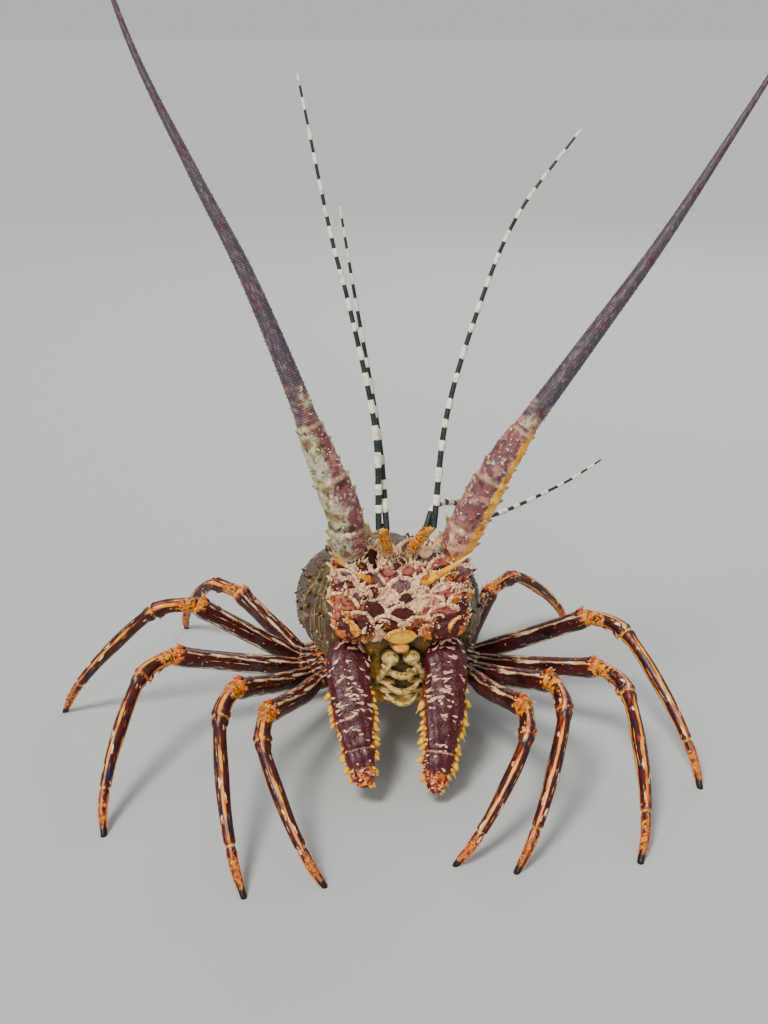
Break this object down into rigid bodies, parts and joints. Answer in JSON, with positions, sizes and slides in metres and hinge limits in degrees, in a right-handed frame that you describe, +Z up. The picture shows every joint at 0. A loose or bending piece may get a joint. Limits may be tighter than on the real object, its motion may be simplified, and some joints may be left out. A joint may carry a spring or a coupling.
{
  "type": "spiny lobster",
  "caption": "Life-size spiny lobster standing on its walking legs, head raised, with two long stiff antennae held up and out and the tail stretched out behind with its fan half closed.",
  "frame": {"origin": "on the floor under the middle of the bounding box", "axes": "+Z up; the head faces -Y and the tail is at +Y; the animal's left side is at +X"},
  "size_m": [0.3608, 0.3598, 0.3982],
  "materials": {
    "shell": "satin shell",
    "face": "satin shell",
    "underside": "soft satin",
    "eye": "glossy",
    "antenna": "satin shell",
    "antennule": "satin",
    "maxilliped": "satin shell",
    "leg_upper": "glossy shell",
    "leg_lower": "glossy shell",
    "abdomen": "satin shell",
    "tail_fan": "satin shell"
  },
  "bodies": {
    "root": {"abdomen_1": "abdomen", "abdomen_2": "abdomen", "abdomen_3": "abdomen", "abdomen_4": "abdomen", "abdomen_5": "abdomen", "abdomen_6": "abdomen", "antenna_base_left": "face", "antenna_base_right": "face", "antenna_lash_left": "antenna", "antenna_lash_right": "antenna", "antenna_stalk_left": "antenna", "antenna_stalk_right": "antenna", "antenna_whip_left": "antenna", "antenna_whip_right": "antenna", "antennule_inner_left": "antennule", "antennule_inner_right": "antennule", "antennule_outer_left": "antennule", "antennule_outer_right": "antennule", "antennule_stalk_left": "antennule", "antennule_stalk_right": "antennule", "carapace": "shell", "eye_left": "eye", "eye_right": "eye", "face_plate": "face", "leg_1_lower_left": "leg_lower", "leg_1_lower_right": "leg_lower", "leg_1_upper_left": "leg_upper", "leg_1_upper_right": "leg_upper", "leg_2_lower_left": "leg_lower", "leg_2_lower_right": "leg_lower", "leg_2_upper_left": "leg_upper", "leg_2_upper_right": "leg_upper", "leg_3_lower_left": "leg_lower", "leg_3_lower_right": "leg_lower", "leg_3_upper_left": "leg_upper", "leg_3_upper_right": "leg_upper", "leg_4_lower_left": "leg_lower", "leg_4_lower_right": "leg_lower", "leg_4_upper_left": "leg_upper", "leg_4_upper_right": "leg_upper", "leg_5_lower_left": "leg_lower", "leg_5_lower_right": "leg_lower", "leg_5_upper_left": "leg_upper", "leg_5_upper_right": "leg_upper", "mandibles": "underside", "maxilliped_lower_left": "maxilliped", "maxilliped_lower_right": "maxilliped", "maxilliped_upper_left": "maxilliped", "maxilliped_upper_right": "maxilliped", "sternum": "underside", "telson": "tail_fan", "uropod_inner_left": "tail_fan", "uropod_inner_right": "tail_fan", "uropod_outer_left": "tail_fan", "uropod_outer_right": "tail_fan"}
  },
  "joints": []
}
